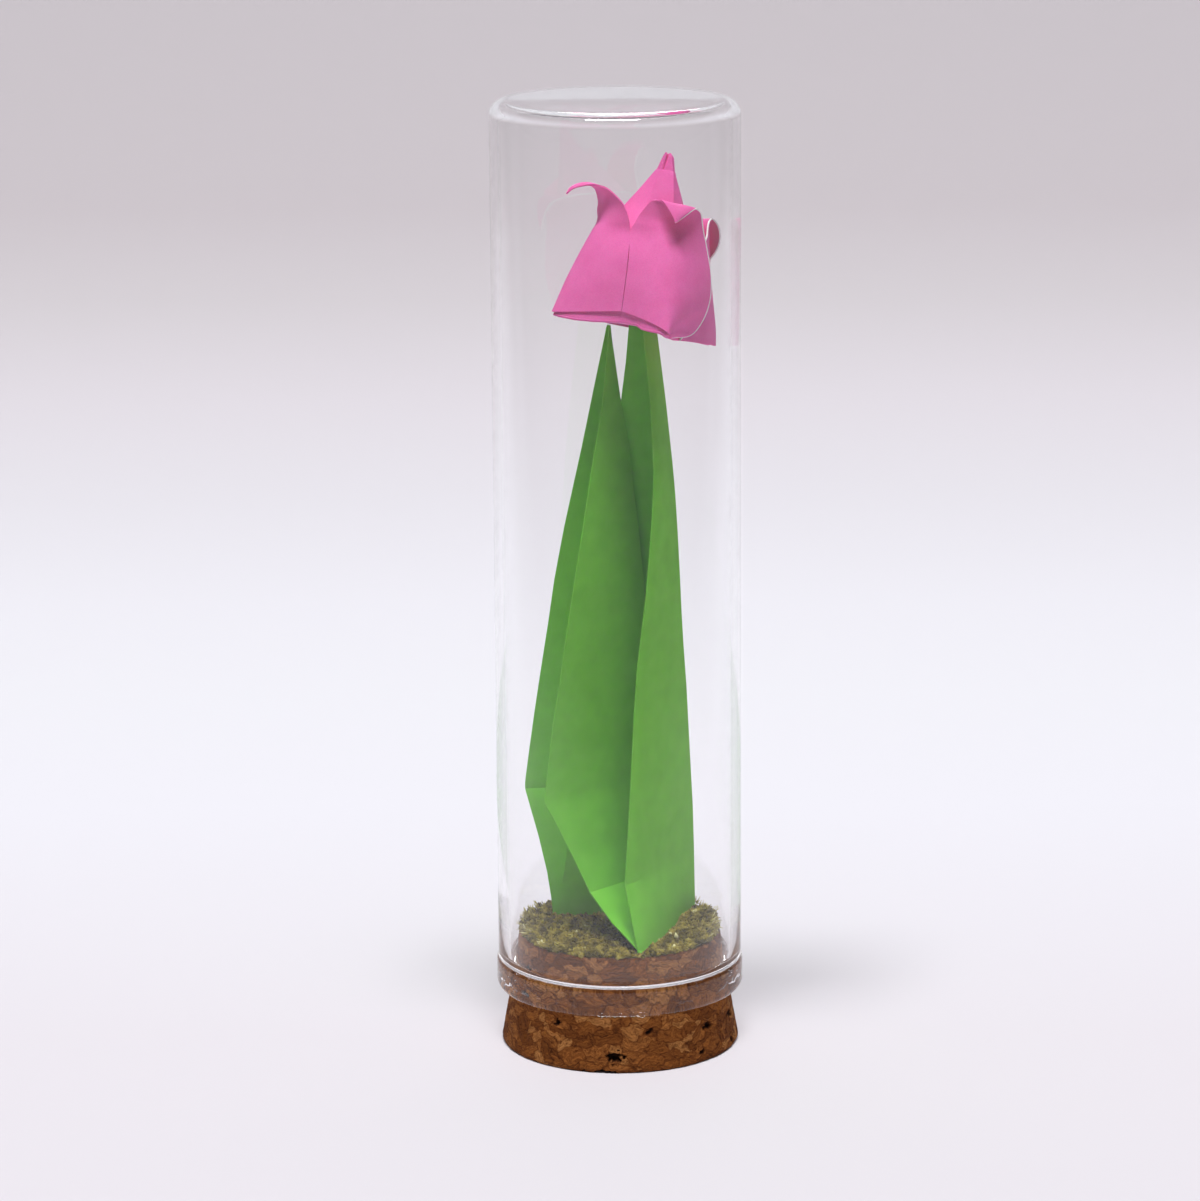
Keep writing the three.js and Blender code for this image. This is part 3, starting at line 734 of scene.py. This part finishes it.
def corner_sheet(name, quarter, rows, raw, creased=False):
    count = (len(rows) - 1) * SHEET_STEPS
    grid = []
    for r in range(count + 1):
        row = sheet_row(rows, r / SHEET_STEPS)
        left, ridge, right = row[:3]
        widths = [max(np.linalg.norm(end - ridge), TINY) for end in (left, right)]
        inner_left, inner_right = (1 - min(CUT_BAND / width, WIDEST_BAND) for width in widths)
        shares = [-1, *np.linspace(-inner_left, 0, SHEET_COLUMNS),
                  *np.linspace(0, inner_right, SHEET_COLUMNS)[1:], 1]
        line = []
        for share in shares:
            point = row_point(row, share)
            if creased and point[1] > 0:
                crease = np.interp(point[1], CREASE_SIDEWAYS, CREASE_HEIGHT)
                point[0] += FLARE * max(0, crease - point[2])
            line.append(corner_point(quarter, point))
        grid.append(line)
    return paper_sheet(
        name, np.array(grid), PINK_SHEET, [PINK, CORE], raw=raw, crease_deg=60, band=True)


petals = [
    corner_sheet("petal_right", 0, R_ROWS, ("left", "last")),
    corner_sheet("petal_back", 1, B_ROWS, ("right", "last")),
    corner_sheet("petal_left", 2, L_ROWS, ("left", "last")),
    corner_sheet("petal_front", 3, F_ROWS, ("right", "last"), creased=True),
]

# The closed inner point, level by level: points (toward R, toward F, height) from corner L over F, R and B.
# The fourth point of a level is the bottom of the slit between its two lips.
POINT_LEVELS = [
    [(-6.4, 0, 10.6), (-4.0, 4.0, 11.0), (-3, 4.6, 10.9), (-2.6, 4.8, 10.9),
     (-2.2, 5, 10.9), (0, 6.4, 10.6), (4.7, 4.7, 11.0), (6.4, 0, 10.6),
     (4.0, -4.0, 11.0), (0, -6.4, 10.6), (-4.0, -4.0, 11.0)],
    [(-3.58, 0, 14.95), (-1.9, 1.9, 14.9), (-1.1, 2.16, 14.9), (-0.95, 2.21, 14.9),
     (-0.8, 2.26, 14.9), (1.2, 2.9, 14.9), (3.0, 1.6, 14.9), (3.93, 0, 14.9),
     (2.3, -1.9, 14.9), (0.3, -3.4, 14.9), (-1.8, -1.9, 14.9)],
    [(-2.18, 0, 17.0), (-1.16, 1.3, 17.0), (-0.6, 1.54, 17.0), (-0.5, 1.58, 17.0),
     (-0.4, 1.63, 17.0), (1.1, 2.28, 17.0), (2.2, 1.3, 17.0), (2.98, 0, 17.0),
     (1.8, -1.3, 17.0), (0.4, -2.3, 17.0), (-1.0, -1.3, 17.0)],
    [(-0.64, 0, 19.4), (-0.32, 0.7, 19.4), (-0.16, 0.76, 19.4), (-0.08, 0.79, 19.4),
     (0.0, 0.82, 19.4), (1.1, 1.21, 19.4), (1.6, 0.6, 19.4), (1.84, -0.1, 19.4),
     (1.3, -0.7, 19.4), (0.6, -1.1, 19.4), (-0.1, -0.7, 19.4)],
    [(-0.48, 0, 19.55), (-0.24, 0.58, 19.55), (-0.1, 0.66, 19.55), (0.06, 0.3, 19.6),
     (0.1, 0.74, 19.55), (1.02, 1.08, 19.55), (1.5, 0.55, 19.55), (1.74, -0.1, 19.55),
     (1.25, -0.65, 19.55), (0.6, -1.0, 19.55), (-0.05, -0.62, 19.55)],
    [(0.0, 0.1, 21.2), (0.06, 0.44, 21.2), (0.10, 0.50, 21.2), (0.45, -0.25, 21.2),
     (0.58, 0.62, 21.2), (0.84, 0.66, 21.2), (1.15, 0.4, 21.2), (1.3, 0, 21.2),
     (1.0, -0.35, 21.2), (0.6, -0.5, 21.2), (0.2, -0.3, 21.2)],
    [(0.16, 0.15, 21.62), (0.17, 0.32, 21.7), (0.20, 0.36, 21.72), (0.46, -0.2, 21.3),
     (0.62, 0.42, 21.66), (0.68, 0.42, 21.66), (0.82, 0.25, 21.6), (0.88, 0.05, 21.56),
     (0.72, -0.12, 21.6), (0.5, -0.2, 21.6), (0.3, -0.08, 21.6)],
]


POINT_STEPS = 6
POINT_SPLIT = 3


def inner_point():
    levels = [np.array(level, float) for level in POINT_LEVELS]
    rows = (len(levels) - 1) * POINT_STEPS
    sides = len(POINT_LEVELS[0])
    grid = np.zeros((rows + 1, sides * POINT_SPLIT + 1, 3))
    for r in range(rows + 1):
        ring = straight(levels, r / POINT_STEPS)
        for c in range(sides * POINT_SPLIT + 1):
            i, t = divmod(c, POINT_SPLIT)
            a, b = ring[i % sides], ring[(i + 1) % sides]
            toward_r, toward_f, height = a + (b - a) * t / POINT_SPLIT
            grid[r, c] = BLOOM_CENTRE + RIGHT * toward_r - FAR * toward_f + UP * height
    return paper_sheet("bloom_point", grid, PINK_SHEET, [PINK, CORE], crease_deg=12)


point = inner_point()


# The underside: a slack sheet from the stem hole to a rolled edge tucked inside the side faces.
# Its roll is given by turn in degrees: how far it lies inside their bottom edge, and how far below it.
UNDER_ROLL = [
    (0, 0.9, 0.0), (45, 0.6, 0.6), (90, 0.6, 0.4), (135, 0.5, 1.0), (180, 0.3, 0.35),
    (195, 0.25, 0.9), (207, 0.3, 1.1), (235, 0.5, 1.25), (250, 0.5, 0.9), (254, 0.4, 1.15),
    (260, 0.35, 1.0), (266, 0.35, 0.6), (271, 0.4, 0.2), (280, 0.7, 0.0), (295, 0.9, 0.0),
    (330, 1.0, -0.1), (360, 0.9, 0.0),
]
UNDER_COLUMNS = 160
UNDER_ROWS = 22
HOLE_RADIUS = 3.5
HOLE_HEIGHT = 0.5
TUCK = 0.28
EDGE_SAMPLES = 15


def bottom_edge():
    """The side faces' bottom edge as turn, radius and height in the bloom's own frame."""
    edge = []
    for quarter, rows in enumerate((R_ROWS, B_ROWS, L_ROWS, F_ROWS)):
        row = sheet_row(rows, 0)
        for share in np.linspace(-1, 1, EDGE_SAMPLES):
            outward, sideways, height = row_point(row, share)
            turn = (quarter * 90 + math.degrees(math.atan2(sideways, outward))) % 360
            edge.append((turn, math.hypot(outward, sideways), height))
    return np.array(sorted(edge)).T


def underside():
    turns, radii, heights = bottom_edge()
    roll_turn, roll_in, roll_down = np.array(UNDER_ROLL).T
    grid = np.zeros((UNDER_ROWS + 1, UNDER_COLUMNS + 1, 3))
    for c in range(UNDER_COLUMNS + 1):
        turn = 360 * c / UNDER_COLUMNS
        radius = np.interp(turn, turns, radii, period=360)
        height = np.interp(turn, turns, heights, period=360)
        roll_r = radius - np.interp(turn, roll_turn, roll_in)
        roll_h = height - np.interp(turn, roll_turn, roll_down)
        edge = np.array([radius - TUCK, height + 0.1])
        # From the hole over the slack middle and the roll's bottom and outside up to the tucked edge
        line = [np.array([HOLE_RADIUS, HOLE_HEIGHT]), np.array([roll_r * 0.7, 0.3 + roll_h * 0.5]),
                np.array([roll_r - 0.15, roll_h]), np.array([roll_r + 0.02, roll_h + 0.2]),
                (edge + [roll_r, roll_h + 0.3]) / 2, edge]
        angle = math.radians(turn)
        for r in range(UNDER_ROWS + 1):
            along, up = hermite(line, r * (len(line) - 1) / UNDER_ROWS)
            grid[r, c] = (BLOOM_CENTRE + RIGHT * along * math.cos(angle)
                          + FAR * along * math.sin(angle) + UP * up)
    return paper_sheet("bloom_underside", grid, PINK_SHEET, [PINK, CORE], crease_deg=60)


under = underside()
for piece in petals + [point, under]:
    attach(piece, "root")
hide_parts("paper_bloom")


# Moss: a lumpy pad under many crumbs and short fronds

MOSS_RADIUS = 12.1
PAD_RINGS = 44
PAD_SPOKES = 160
PAD_FLOOR = 14.02
PAD_LEVEL = 14.28
REAR_RISE = 0.35
# Mounds on the pad: x, y, squared width, height
MOUNDS = [(10.2, 2.5, 9, 0.9), (-9, 4, 10, 0.5)]
LOWEST_LUMP = -0.18
CRUMB_COUNT = 7000
FROND_COUNT = 1500
FLATNESS = 0.6
OCTAHEDRON = [(1, 0, 0), (0, 1, 0), (-1, 0, 0), (0, -1, 0), (0, 0, 1), (0, 0, -1)]
OCTAHEDRON_FACES = [(0, 1, 4), (1, 2, 4), (2, 3, 4), (3, 0, 4), (1, 0, 5), (2, 1, 5), (3, 2, 5), (0, 3, 5)]
FROND_STEPS = 3
FROND_SIDES = 3
# How far crumbs and fronds keep from the paper, and fronds from the glass, as a radius
CRUMB_GAP = 0.45
FROND_GAP = 0.4
FROND_LIMIT = 12.9
# Taller fronds at the rim: how many, between which turns in degrees
RIM_TUFTS = [(75, 150, 205), (75, -20, 55)]
# Pale chips lying on the moss: place, size
MOSS_CHIPS = [(6.9, -5.4, 0.75), (6.2, -4.6, 0.35), (-5.3, -3.6, 0.3), (-4.2, -1.2, 0.35)]
CHIP_TONE = 1.4


def strip_corners(stations, height):
    _, sx, sy, fx, fy, bx, by = station_at(stations, height)
    return [(fx, fy), (sx, sy), (bx, by)]


PAPER_SECTIONS = [
    strip_corners(stations, height)
    for stations, height in ((STEM_STATIONS, 14.6), (LEAF_STATIONS, 14.6), (LEAF_STATIONS, 15.6))
]


def paper_distance(x, y):
    """Distance to the nearest green sheet at the moss's level."""
    best = math.inf
    for corners in PAPER_SECTIONS:
        for (ax, ay), (bx, by) in zip(corners, corners[1:]):
            dx, dy = bx - ax, by - ay
            t = min(max(((x - ax) * dx + (y - ay) * dy) / (dx * dx + dy * dy), 0), 1)
            best = min(best, math.hypot(x - ax - dx * t, y - ay - dy * t))
    return best


def moss_height(x, y):
    rear = min(max((y + 9) / 12, 0), 1)
    height = PAD_LEVEL + REAR_RISE * rear
    for mound_x, mound_y, width, rise in MOUNDS:
        height += rise * math.exp(-((x - mound_x) ** 2 + (y - mound_y) ** 2) / width)
    lumps = 0.30 * noise.noise(Vector((x, y, 3)) * 0.6) + 0.22 * noise.noise(Vector((x, y, 9)) * 1.7)
    return height + max(lumps, LOWEST_LUMP)


def add_crumb(points, faces, tones, draw, place, size, tone):
    start = len(points)
    spin = Matrix.Rotation(draw.uniform(0, 6.28), 3, "Z") @ Matrix.Rotation(draw.uniform(0, 3.14), 3, "X")
    for corner in OCTAHEDRON:
        reach = Vector(corner) * size * draw.uniform(0.5, 1.25)
        reach.z *= FLATNESS
        points.append(tuple(place + spin @ reach))
        tones.append(min(tone + draw.uniform(-0.08, 0.08), 1))
    faces += [tuple(start + i for i in face) for face in OCTAHEDRON_FACES]


def add_frond(points, faces, tones, draw, place, heading, length, width, tone):
    """A bent three-sided stalk that leans towards its heading, paler and thinner at its tip."""
    start = len(points)
    lean = draw.uniform(0.7, 1.5)
    bend = draw.uniform(-0.9, 0.9)
    side = Vector((-math.sin(heading), math.cos(heading), 0))
    for step in range(FROND_STEPS + 1):
        share = step / FROND_STEPS
        tilt = lean + bend * share
        flat = math.sin(tilt)
        run = Vector((flat * math.cos(heading), flat * math.sin(heading), math.cos(tilt)))
        if step:
            place = place + run * length / FROND_STEPS
        over = run.cross(side)
        girth = width * (1 - 0.5 * share) * draw.uniform(0.7, 1.3)
        for k in range(FROND_SIDES):
            spin = 2 * math.pi * k / FROND_SIDES
            aside = place + side * girth * math.cos(spin)
            points.append(tuple(aside + over * girth * FLATNESS * math.sin(spin)))
            tones.append(min(tone + 0.2 * share, 1))
    for step in range(FROND_STEPS):
        low = start + step * FROND_SIDES
        for k in range(FROND_SIDES):
            a, b = low + k, low + (k + 1) % FROND_SIDES
            faces.append((a, b, b + FROND_SIDES, a + FROND_SIDES))
    faces.append((start + 2, start + 1, start))
    tip = start + FROND_STEPS * FROND_SIDES
    faces.append((tip, tip + 1, tip + 2))


def add_pad(points, faces, tones, draw):
    points.append((0, 0, moss_height(0, 0)))
    tones.append(0.25)
    for ring in range(1, PAD_RINGS + 1):
        for i in range(PAD_SPOKES):
            angle = 2 * math.pi * i / PAD_SPOKES
            wobble = noise.noise(Vector((math.cos(angle), math.sin(angle), 0)) * 5)
            radius = MOSS_RADIUS * (1 + 0.03 * wobble) * ring / PAD_RINGS
            x, y = radius * math.cos(angle), radius * math.sin(angle)
            points.append((x, y, PAD_FLOOR if ring == PAD_RINGS else moss_height(x, y) - 0.12))
            tones.append(0.1 + 0.25 * draw.random())
    around = [(i, (i + 1) % PAD_SPOKES) for i in range(PAD_SPOKES)]
    faces += [(0, 1 + i, 1 + j) for i, j in around]
    for ring in range(PAD_RINGS - 1):
        low, high = 1 + ring * PAD_SPOKES, 1 + (ring + 1) * PAD_SPOKES
        faces += [(low + i, high + i, high + j, low + j) for i, j in around]
    hub, rim = len(points), len(points) - PAD_SPOKES
    points.append((0, 0, PAD_FLOOR))
    tones.append(0.2)
    faces += [(hub, rim + j, rim + i) for i, j in around]


def strew(points, faces, tones, draw, number):
    """One crumb or frond at a random place on the pad, left out where the paper stands."""
    angle = 2 * math.pi * draw.random()
    radius = MOSS_RADIUS * math.sqrt(draw.random()) * 1.02
    x, y = radius * math.cos(angle), radius * math.sin(angle)
    clump = noise.noise(Vector((x, y, 5)) * 1.1)
    tone = min(max(0.24 + 0.5 * clump + draw.uniform(-0.14, 0.2), 0.0), 0.9)
    place = Vector((x, y, moss_height(x, y) - 0.05))
    gap = paper_distance(x, y)
    if number < CRUMB_COUNT:
        if gap > CRUMB_GAP:
            add_crumb(points, faces, tones, draw, place, draw.uniform(0.16, 0.5), tone)
        return
    heading = angle + draw.uniform(-1.4, 1.4)
    length = draw.uniform(0.3, 0.9)
    x_end, y_end = x + length * math.cos(heading), y + length * math.sin(heading)
    if min(gap, paper_distance(x_end, y_end)) >= FROND_GAP and math.hypot(x_end, y_end) <= FROND_LIMIT:
        add_frond(points, faces, tones, draw, place, heading, length, draw.uniform(0.06, 0.15), tone)


def moss():
    draw = random.Random(11)
    points, faces, tones = [], [], []
    add_pad(points, faces, tones, draw)
    for number in range(CRUMB_COUNT + FROND_COUNT):
        strew(points, faces, tones, draw, number)
    for count, first, last in RIM_TUFTS:
        for _ in range(count):
            angle = math.radians(draw.uniform(first, last))
            radius = draw.uniform(11.2, 12.3)
            place = Vector((radius * math.cos(angle), radius * math.sin(angle), draw.uniform(14.4, 15.3)))
            heading = angle + draw.uniform(-0.8, 0.8)
            length, width, tone = draw.uniform(0.5, 1.1), draw.uniform(0.08, 0.17), draw.uniform(0.3, 0.7)
            add_frond(points, faces, tones, draw, place, heading, length, width, tone)
    for x, y, size in MOSS_CHIPS:
        place = Vector((x, y, moss_height(x, y) + 0.15))
        add_crumb(points, faces, tones, draw, place, size, CHIP_TONE)
    piece = build_mesh("moss_fronds", points, faces, [MOSS])
    add_values(piece, "tone", tones)
    return piece


moss_piece = moss()
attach(moss_piece, "root")
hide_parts("moss_bed")


# Floor, light and camera

STAGE_REACH = 1.2
# Tones of the sweep over its reach, from the front at 0 to the back at 1. Past the table's edge at the
# front, the sheet is brightest near the middle and darkens towards the front and most of all towards the
# back: painted shade, a falloff of light painted into the colour.
SWEEP_TONES_WITH_PAINTED_SHADE = [
    (0.43, (0.45, 0.435, 0.455)), (0.474, (0.76, 0.73, 0.78)), (0.5, (0.775, 0.745, 0.795)),
    (0.542, (0.83, 0.825, 0.885)), (0.57, (0.835, 0.835, 0.885)), (0.596, (0.83, 0.825, 0.88)),
    (0.632, (0.79, 0.775, 0.825)), (0.675, (0.765, 0.732, 0.78)), (0.729, (0.694, 0.66, 0.69)),
    (0.79, (0.653, 0.61, 0.64)), (0.86, (0.613, 0.575, 0.605)),
]
TABLE_TONE = (0.45, 0.435, 0.455)
# The pale sheet's half width, how far it blends into the table, and how it widens towards the back
SHEET_HALF_WIDTH = 0.13
SHEET_BLEND = 0.12
SHEET_WIDENING = 1.2


def map_range(tree, value, low, high):
    """A value's place between low and high, from 0 to 1."""
    return add(tree, "ShaderNodeMapRange", Value=value, From_Min=low, From_Max=high).outputs[0]


def stage_material():
    """A pale paper sheet, swept up at the back, on a greyer table that lies outside the picture. The
    sheet's colour darkens towards the back as painted shade.
    """
    material, tree = new_material("pale_sweep")
    place = add(tree, "ShaderNodeSeparateXYZ", Vector=object_place(tree)).outputs
    along = map_range(tree, place["Y"], -STAGE_REACH, STAGE_REACH)
    # The sheet's tones darken away from the middle, most towards the back, as painted shade
    sheet = ramp(tree, along, SWEEP_TONES_WITH_PAINTED_SHADE)
    aside = maths(tree, "ABSOLUTE", place["X"])
    behind = maths(tree, "MAXIMUM", place["Y"], 0)
    spread = maths(tree, "MULTIPLY_ADD", behind, -SHEET_WIDENING, aside)
    beyond = map_range(tree, spread, SHEET_HALF_WIDTH, SHEET_HALF_WIDTH + SHEET_BLEND)
    color = mix_colors(tree, "MIX", beyond, sheet, (*TABLE_TONE, 1))
    skin = add(tree, "ShaderNodeBsdfPrincipled", Base_Color=color, Roughness=0.9, Specular_IOR_Level=0.1)
    show(tree, skin.outputs[0])
    return material


SWEEP_WIDTH = 2500
SWEEP_RADIUS = 300
WALL_PLACE = 1000


def sweep():
    """A floor that curves up into a back wall."""
    bend = WALL_PLACE - SWEEP_RADIUS
    line = [(-SWEEP_WIDTH, 0.0), (-200, 0.0), (200, 0.0), (bend, 0.0)]
    for t in np.linspace(0.1, math.pi / 2, 14):
        line.append((bend + SWEEP_RADIUS * math.sin(t), SWEEP_RADIUS * (1 - math.cos(t))))
    line += [(WALL_PLACE, 700), (WALL_PLACE, 1200)]
    points, faces = [], []
    for y, z in line:
        points += [(-SWEEP_WIDTH, y, z), (SWEEP_WIDTH, y, z)]
    for i in range(len(line) - 1):
        a = i * 2
        faces.append((a, a + 1, a + 3, a + 2))
    return build_mesh("sweep", points, faces, [stage_material()])


floor = sweep()


def area_light(name, place, target, width, height, power):
    data = bpy.data.lights.new(name, "AREA")
    data.shape = "RECTANGLE"
    data.size = width
    data.size_y = height
    data.energy = power
    light = bpy.data.objects.new(name, data)
    bpy.context.scene.collection.objects.link(light)
    light.location = place
    light.rotation_mode = "QUATERNION"
    light.rotation_quaternion = (Vector(target) - Vector(place)).to_track_quat("-Z", "Y")
    return light


KEY_DISTANCE = 2.4
KEY_RISE = math.radians(75)
KEY_TURN = math.radians(-4)
key_place = (
    KEY_DISTANCE * math.cos(KEY_RISE) * math.sin(KEY_TURN),
    -KEY_DISTANCE * math.cos(KEY_RISE) * math.cos(KEY_TURN),
    KEY_DISTANCE * math.sin(KEY_RISE),
)
area_light("key_box", key_place, target=(0, 0, 0.06), width=1.3, height=0.5, power=60)
# Mirrored only in the closed end's rounded shoulder, as the long window in the photo is
rear = area_light(
    "rear_strip", (0.011, 0.56, 0.536), target=(0, 0, 0.116), width=0.11, height=0.42, power=1.6)
rear.visible_diffuse = False
rear.visible_camera = False
rear.visible_transmission = False


WORLD_TONES = [(0.0, (0.12, 0.117, 0.123)), (0.3, (0.095, 0.093, 0.098)), (1.0, (0.09, 0.09, 0.093))]


def studio_world():
    """Dim surrounding light, a little brighter at the horizon than overhead."""
    world = bpy.data.worlds.new("studio")
    bpy.context.scene.world = world
    world.use_nodes = True
    tree = world.node_tree
    place = add(tree, "ShaderNodeTexCoord").outputs["Generated"]
    height = add(tree, "ShaderNodeSeparateXYZ", Vector=place).outputs["Z"]
    feed(tree, tree.nodes["Background"].inputs["Color"], ramp(tree, height, WORLD_TONES))


studio_world()
bpy.context.scene.view_settings.view_transform = "Standard"

# The camera that fits the photo; its focal length is in pixels of the photo's width
CAMERA_PLACE = Vector((0, -0.533743, 0.182973))
PITCH = math.radians(13.42205)
ROLL = math.radians(0.403484)
YAW = math.radians(-0.2300194)
FOCAL_PIXELS = 4509.86
PHOTO_WIDTH = 1200
SENSOR_WIDTH = 36


def add_camera():
    data = bpy.data.cameras.new("camera")
    data.sensor_fit = "HORIZONTAL"
    data.sensor_width = SENSOR_WIDTH
    data.lens = SENSOR_WIDTH * FOCAL_PIXELS / PHOTO_WIDTH
    data.clip_start = 0.01
    data.clip_end = 10
    camera = bpy.data.objects.new("camera", data)
    bpy.context.scene.collection.objects.link(camera)
    sin_yaw, cos_yaw, sin_pitch, cos_pitch = math.sin(YAW), math.cos(YAW), math.sin(PITCH), math.cos(PITCH)
    forward = Vector((sin_yaw * cos_pitch, cos_yaw * cos_pitch, -sin_pitch))
    right = Vector((cos_yaw, -sin_yaw, 0))
    above = Vector((sin_yaw * sin_pitch, cos_yaw * sin_pitch, cos_pitch))
    across = math.cos(ROLL) * right - math.sin(ROLL) * above
    upward = math.sin(ROLL) * right + math.cos(ROLL) * above
    turned = Matrix((across, upward, -forward)).transposed().to_4x4()
    camera.matrix_world = Matrix.Translation(CAMERA_PLACE) @ turned
    bpy.context.scene.camera = camera


add_camera()
